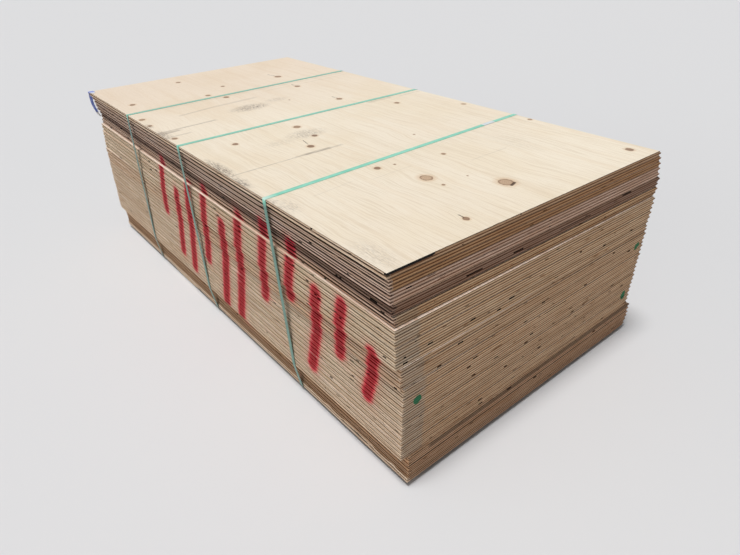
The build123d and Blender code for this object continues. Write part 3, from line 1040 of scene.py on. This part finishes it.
def build_sheet(name):
    """One sheet as a detailed closed mesh with uneven edges, chips and core gaps."""
    sheet = Sheet(name)
    random = np.random.default_rng(SHEET_SEED + sheet.number)
    groove, tongue = section_rows(sheet.width)
    shell = Shell()
    front = long_side(shell, sheet, GROOVE_SIDE, groove, front_gaps(sheet, random),
                      FRONT_STEP, spray_columns(sheet), random)
    back = long_side(shell, sheet, TONGUE_SIDE, tongue, back_gaps(sheet, random),
                     BACK_STEP, [], random)
    near, far = (cut_end(shell, sheet, side, groove, tongue, random) for side in (NEAR_END, FAR_END))
    for row in ARRIS_ROWS:
        loop = front[row] + near[row][1:] + back[row][::-1][1:] + far[row][::-1][1:-1]
        if row and sheet.number == TOP_SHEET:
            top_face(shell, loop, sheet)
        else:
            shell.face(loop, FACE)
    nominal, rows, sunk = np.array(shell.points), np.array(shell.rows), np.array(shell.sunk)
    attributes = wear_and_colour(sheet, nominal, rows, sunk)
    placed = sheet.place(worn(sheet, nominal, rows, sunk, random))
    veneer = TOP_VENEER if sheet.number == TOP_SHEET else FACE_VENEER
    materials = (veneer, LONG_EDGE_WOOD, CUT_END_WOOD)
    made = make_object(name + "_wood", placed, shell.faces, attributes, materials, shell.kinds)
    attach(made, "root")
    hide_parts(name)


def tints(sheet, flat, rows, x, y):
    """Colour of the wood at each corner of a sheet: its own colour, with painted shadow and shade in
    some places.
    """
    random = np.random.default_rng(COLOUR_SEED + sheet.number)
    front_row, near_row = rows[:, GROOVE_SIDE], rows[:, NEAR_END]
    on_near = (near_row >= 0) & (front_row < 0)
    long_colour, end_colour = next(c[2:] for c in EDGE_COLOURS if c[0] <= sheet.number <= c[1])
    tint = np.tile(np.array(FACE_COLOUR), (len(flat), 1))
    tint[(near_row >= 0) | (rows[:, FAR_END] >= 0)] = end_colour
    tint[(front_row >= 0) | (rows[:, TONGUE_SIDE] >= 0)] = long_colour
    shift = 1 + (random.random() - 0.5) * SHEET_SHIFT
    stops = np.linspace(-1300, 1300, 9)
    drift = np.interp(x, stops, 1 + (random.random(len(stops)) - 0.5) * LENGTH_SHIFT)
    tint[:, :3] *= (shift * drift)[:, None]
    if FIRST_TAN <= sheet.number < FIRST_LOW:
        tint[on_near & (flat[:, 1] < GREY_STRIP_WIDTH), :3] *= GREY_STRIP_TINT
    # Painted shadow: the near end of the first low sheet is darkened under the overhanging sheet above
    if sheet.number == FIRST_LOW:
        tint[on_near & (y > SHADOW_START)] *= 0.5
    # Painted shade: the lowest sheet's underside is darkened, so that the gap under the stack looks
    # dark
    if sheet.number == LOWEST:
        tint[flat[:, 2] < LIP_CHAMFER / 2] *= 0.25
    brightest = np.maximum(tint[:, :3].max(axis=1), 0.001)
    tint[:, :3] *= np.minimum(1, BRIGHTEST / brightest)[:, None]
    return tint


def groove_and_seam_shade(sheet, flat, rows):
    """How much painted shade each corner of a sheet takes in a groove or at a seam between sheets, from
    0 to 1.
    """
    front_row, near_row = rows[:, GROOVE_SIDE], rows[:, NEAR_END]
    on_front = front_row >= 0
    groove_floor = np.isin(front_row, GROOVE_FLOOR_ROWS)
    lip = np.isin(rows, LIP_ROWS).any(axis=1)
    inner = np.zeros(len(flat))
    inner[groove_floor] = 0.9
    inner[groove_floor & (flat[:, 0] > sheet.length - LIT_GROOVE)] = 0.3
    inner[lip] = 0.4
    if FIRST_AGED <= sheet.number < FIRST_PALE:
        inner[lip & on_front] = 0.68
        inner[np.isin(front_row, MOUTH_ROWS)] = 0.2
    if sheet.number >= FIRST_LOW:
        inner[lip & (near_row >= 0) & ~on_front] = 0.6
    inner[np.isin(rows, ARRIS_ROWS).any(axis=1)] = 0.9
    if sheet.number == LOWEST:
        inner[front_row >= LIP_ROWS[1]] = 0.05
    return inner


def paint(rows, x, y, height):
    """Red spray on the grooved side and green dabs on the near end."""
    spray, dab = np.zeros(len(x)), np.zeros(len(x))
    front, near = rows[:, GROOVE_SIDE] >= 0, rows[:, NEAR_END] >= 0
    for start, end, half in SPRAY_STROKES:
        gap = distance_to_line(x[front], height[front], start, end)
        body = np.clip((half + SPRAY_SOFTNESS * 0.6 - gap) / SPRAY_SOFTNESS, 0, 1)
        mist = np.clip(1 - gap / (half * MIST_REACH), 0, 1) * MIST_STRENGTH
        spray[front] = np.maximum(spray[front], np.maximum(body, mist))
    spray[np.isin(rows[:, GROOVE_SIDE], GROOVE_FLOOR_ROWS)] *= 0.8
    for middle_y, middle_z, half_width, half_height in GREEN_DABS:
        away = np.hypot((y[near] - middle_y) / half_width, (height[near] - middle_z) / half_height)
        dab[near] = np.maximum(dab[near], np.clip(1.5 - away, 0, 1))
    return spray, dab


def wear_and_colour(sheet, flat, rows, sunk):
    """What the materials need to know at each corner of a sheet."""
    placed = sheet.place(flat)
    x = (placed[:, 0] - TOP_MIDDLE_X) / MM
    y = (placed[:, 1] - TOP_MIDDLE_Y) / MM
    height = (placed[:, 2] - STACK_TOP) / MM
    near_row = rows[:, NEAR_END]
    # Painted shade: near black in the core gaps, by how far each corner is sunk
    gap_shade = np.clip(sunk.max(axis=1) / SUNK_DEPTH, 0, 1)
    tint, inner = tints(sheet, flat, rows, x, y), groove_and_seam_shade(sheet, flat, rows)
    spray, dab = paint(rows, x, y, height)
    # Painted shadow: near black on the top sheet's near end, under its corner
    if sheet.number == TOP_SHEET:
        gap_shade[np.isin(near_row, CORNER_GAP_ROWS) & (y < CORNER_GAP_END)] = 0.9
    # Painted highlight: the upper lip of this sheet's near end takes the pale face colour and no
    # painted shade, as a lit ledge
    if sheet.number == LEDGE_SHEET:
        painted_ledge_highlight = (near_row >= LIP_ROWS[1]) & (y > SHADOW_START)
        inner[painted_ledge_highlight] = 0.0
        tint[painted_ledge_highlight] = FACE_COLOUR
    made = {
        # Painted shade in the grooves and at the seams
        "inner": inner,
        "ply": np.clip(np.interp(flat[:, 2], PLY_HEIGHTS, range(6)), 0.002, 4.998),
        "number": np.full(len(flat), float(sheet.number)),
        "tint": tint,
        "spray": spray,
        "dab": dab,
        "gap_shade": gap_shade,
    }
    if sheet.number == TOP_SHEET:
        made.update(top_marks(x, y))
    return made


def top_marks(x, y):
    """Knots, cracks and rubbed dirt of the top face."""
    grain = y * MM
    ring = np.full(x.shape, 3.0)
    pale, crack, streak, scuff = (np.zeros(x.shape) for _ in range(4))
    for knot_x, knot_y, radius, paleness in TOP_KNOTS:
        across, along = y - knot_y, x - knot_x
        near = np.exp(-(along / (radius * 3.2)) ** 2 - (across / (radius * 2.2)) ** 2)
        grain = grain - across * MM * 0.75 * near
        away = np.hypot(along / 1.15, across) / radius
        pale = np.where(away < ring, paleness, pale)
        ring = np.minimum(ring, away)
    for start, end, half in CRACKS:
        gap = distance_to_line(x, y, start, end)
        crack = np.maximum(crack, np.clip(1.6 - gap / half, 0, 1))
    for start, end, half, strength in TOP_STREAKS:
        gap = distance_to_line(x, y, start, end)
        streak = np.maximum(streak, np.clip(1.5 - gap / half, 0, 1) * strength)
    for middle_x, middle_y, half_x, half_y, strength in TOP_PATCHES:
        away = np.hypot((x - middle_x) / half_x, (y - middle_y) / half_y)
        scuff = np.maximum(scuff, np.clip(1.6 - 1.2 * away, 0, 1) * strength)
    return {
        "grain": grain, "ring": ring, "knot_pale": pale,
        "crack": crack, "streak": streak, "scuff": scuff,
    }


def solid_strip(name, outer, inward, material, attributes):
    """Thin closed piece from a grid of points on its outer side and the way to its inner side."""
    rows, columns = outer.shape[:2]
    points = np.concatenate((outer.reshape(-1, 3), (outer + inward).reshape(-1, 3)))

    def at(row, column, layer):
        return layer * rows * columns + row * columns + column

    faces = []
    for r in range(rows - 1):
        for c in range(columns - 1):
            faces.append((at(r, c, 0), at(r, c + 1, 0), at(r + 1, c + 1, 0), at(r + 1, c, 0)))
            faces.append((at(r + 1, c, 1), at(r + 1, c + 1, 1), at(r, c + 1, 1), at(r, c, 1)))
        for c in (0, columns - 1):
            faces.append((at(r, c, 0), at(r + 1, c, 0), at(r + 1, c, 1), at(r, c, 1)))
    for c in range(columns - 1):
        for r in (0, rows - 1):
            faces.append((at(r, c, 0), at(r, c, 1), at(r, c + 1, 1), at(r, c + 1, 0)))
    both = {key: np.tile(values.ravel(), 2) for key, values in attributes.items()}
    made = make_object(name, points, faces, both, (material,))
    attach(made, "root")
    return made


def build_tag():
    """Plastic tag bent over the far front corner, white at its ends."""
    random = np.random.default_rng(TAG_SEED)
    low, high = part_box("corner_tag")
    front = TOP_LOW.y
    over, in_from_end = [(0, 0, -TAG_THICKNESS)] * TAG_COLUMNS, [(TAG_THICKNESS, 0, 0)] * TAG_COLUMNS
    outer, inward, white = [], [], []
    for rows, on_top, whites in ((TAG_FLAP, True, FLAP_WHITE), (TAG_LEG, False, LEG_WHITE)):
        for distance, first, last in rows:
            strength = sum(share for start, share in whites if distance > start)
            line, pale = [], []
            for column in range(TAG_COLUMNS):
                share = column / (TAG_COLUMNS - 1)
                y = front + (first + (last - first) * share + random.random() * 1.2) * MM
                edge_white = 0.24 * (column == 0) + 0.12 * (column == TAG_COLUMNS - 1)
                pale.append(strength + edge_white)
                if on_top:
                    line.append((low.x + (distance + random.random() * 2) * MM, y, high.z))
                else:
                    ragged = random.random() * 2.5 * (distance > RAGGED_START)
                    line.append((low.x, y, high.z - (distance + ragged) * MM))
            outer.append(line)
            inward.append(over if on_top else in_from_end)
            white.append(pale)
    whiteness = {"white": np.clip(np.array(white, float), 0, 1)}
    made = solid_strip("corner_tag_bent", np.array(outer), np.array(inward), TAG_PLASTIC,
                       whiteness)
    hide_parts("corner_tag")


def build_splinters():
    """Peeled strips that hang from the lowest sheet's front edge."""
    random = np.random.default_rng(SPLINTER_SEED)
    lowest = Sheet(SHEET_NAMES[-1])
    for number, (start, end, drop, height) in enumerate(SPLINTERS, start=1):
        count = max(6, int((end - start) / 9))
        outer = []
        for i in range(count + 1):
            share = i / count
            along = lowest.along_of(start + (end - start) * share)
            arc = math.sin(math.pi * share)
            hang = drop * arc ** 0.7 + random.random() * 0.5
            tall = height * (0.35 + 0.65 * arc ** 0.5) * (0.8 + 0.3 * random.random())
            back = 1.5 + 2.0 * share + random.random() * 0.4
            for up in (0.0, 0.5, 1.0):
                outer.append((along, (back + 1.2 * up) * MM, 1.0 * MM - (hang + tall * up) * MM))
        placed = lowest.place(np.array(outer)).reshape(count + 1, 3, 3)
        inward = np.array((0, SPLINTER_THICKNESS, 0))
        solid_strip(f"splinter_{number}", placed, inward, SPLINTER_WOOD, {})


def dress(node, material):
    """Gives a CAD node its material."""
    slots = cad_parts[node].data.materials
    slots.clear()
    slots.append(material)


def make_floor():
    """Pale floor that reaches the horizon."""
    corners = [(x * FLOOR_HALF, y * FLOOR_HALF, 0) for x, y in ((-1, -1), (1, -1), (1, 1), (-1, 1))]
    mesh = bpy.data.meshes.new("floor")
    mesh.from_pydata(corners, [], [(0, 1, 2, 3)])
    mesh.materials.append(Graph("floor_paint").finish((*FLOOR_COLOUR, 1.0), 0.9, specular=0.1))
    floor = show(bpy.data.objects.new("floor", mesh))


def make_light():
    """Soft light from above, stronger on the grooved side, weak near the floor."""
    sun = bpy.data.lights.new("sun", "SUN")
    sun.energy = SUN_SHARE * math.pi
    sun.angle = SUN_SOFTNESS
    lamp = show(bpy.data.objects.new("sun", sun))
    lamp.rotation_euler = Vector(SUN_FROM).to_track_quat("Z", "Y").to_euler()
    lamp.location = SUN_PLACE
    world = bpy.data.worlds.new("world")
    bpy.context.scene.world = world
    world.use_nodes = True
    sky = Nodes(world.node_tree)
    seen = sky.given("LightPath", "Is Camera Ray")
    for name in ("Is Glossy Ray", "Is Transmission Ray"):
        seen = sky.math("MAXIMUM", seen, sky.given("LightPath", name))
    _, y, z = sky.split(sky.given("TexCoord", "Generated"))
    front = y * z.ramp(*FRONT_GLOW_TOP, -FRONT_GLOW, 0.0)
    strength = z.ramp(*AMBIENT_RISE, AMBIENT_LOW, AMBIENT_HIGH) + sky.math("MAXIMUM", front, 0.0)
    glow, backdrop = (
        sky.fill(sky.node("Background"), (WHITE, value)) for value in (strength, BACKGROUND)
    )
    chosen = sky.fill(sky.node("MixShader"), (seen, glow, backdrop))
    sky.put(sky.node("OutputWorld").inputs[0], chosen)


make_camera()
make_floor()
make_light()
for sheet_name in SHEET_NAMES:
    build_sheet(sheet_name)
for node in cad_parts:
    if node.startswith("bearer_"):
        dress(node, BEARER_WOOD)
    if node.startswith("strap_"):
        dress(node, STRAP_PLASTIC)
build_tag()
build_splinters()

bpy.context.scene.view_settings.view_transform = "Standard"
